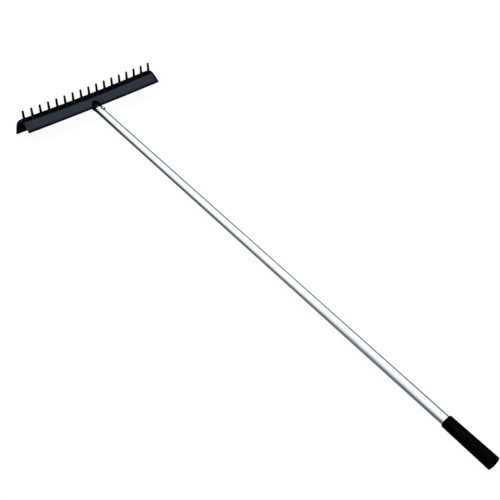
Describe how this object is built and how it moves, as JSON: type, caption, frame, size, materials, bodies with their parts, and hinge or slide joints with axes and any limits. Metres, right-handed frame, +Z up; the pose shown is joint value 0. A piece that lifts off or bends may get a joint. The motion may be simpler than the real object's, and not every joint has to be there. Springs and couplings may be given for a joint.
{
  "type": "bunker rake",
  "caption": "Long bunker rake: an open moulded hood head with a row of peg teeth, a straight round tube handle and a push-on sleeve grip.",
  "frame": {"origin": "on the floor, under the middle of the rake's footprint, as it lies on its back with the teeth up", "axes": "+Y along the handle toward the head, +X along the head, +Z up; the teeth lean 1.2 degrees from +Z toward the grip"},
  "size_m": [0.4292, 1.52, 0.0975],
  "materials": {
    "black_plastic": "satin black moulded plastic",
    "satin_aluminium": "satin anodised",
    "rivet_aluminium": "plain",
    "mandrel_steel": "plain",
    "black_rubber": "matt, finely grained"
  },
  "bodies": {
    "root": {"head": "black_plastic", "handle_tube": "satin_aluminium", "rivet_body": "rivet_aluminium", "rivet_mandrel": "mandrel_steel", "grip": "black_rubber"}
  },
  "joints": []
}
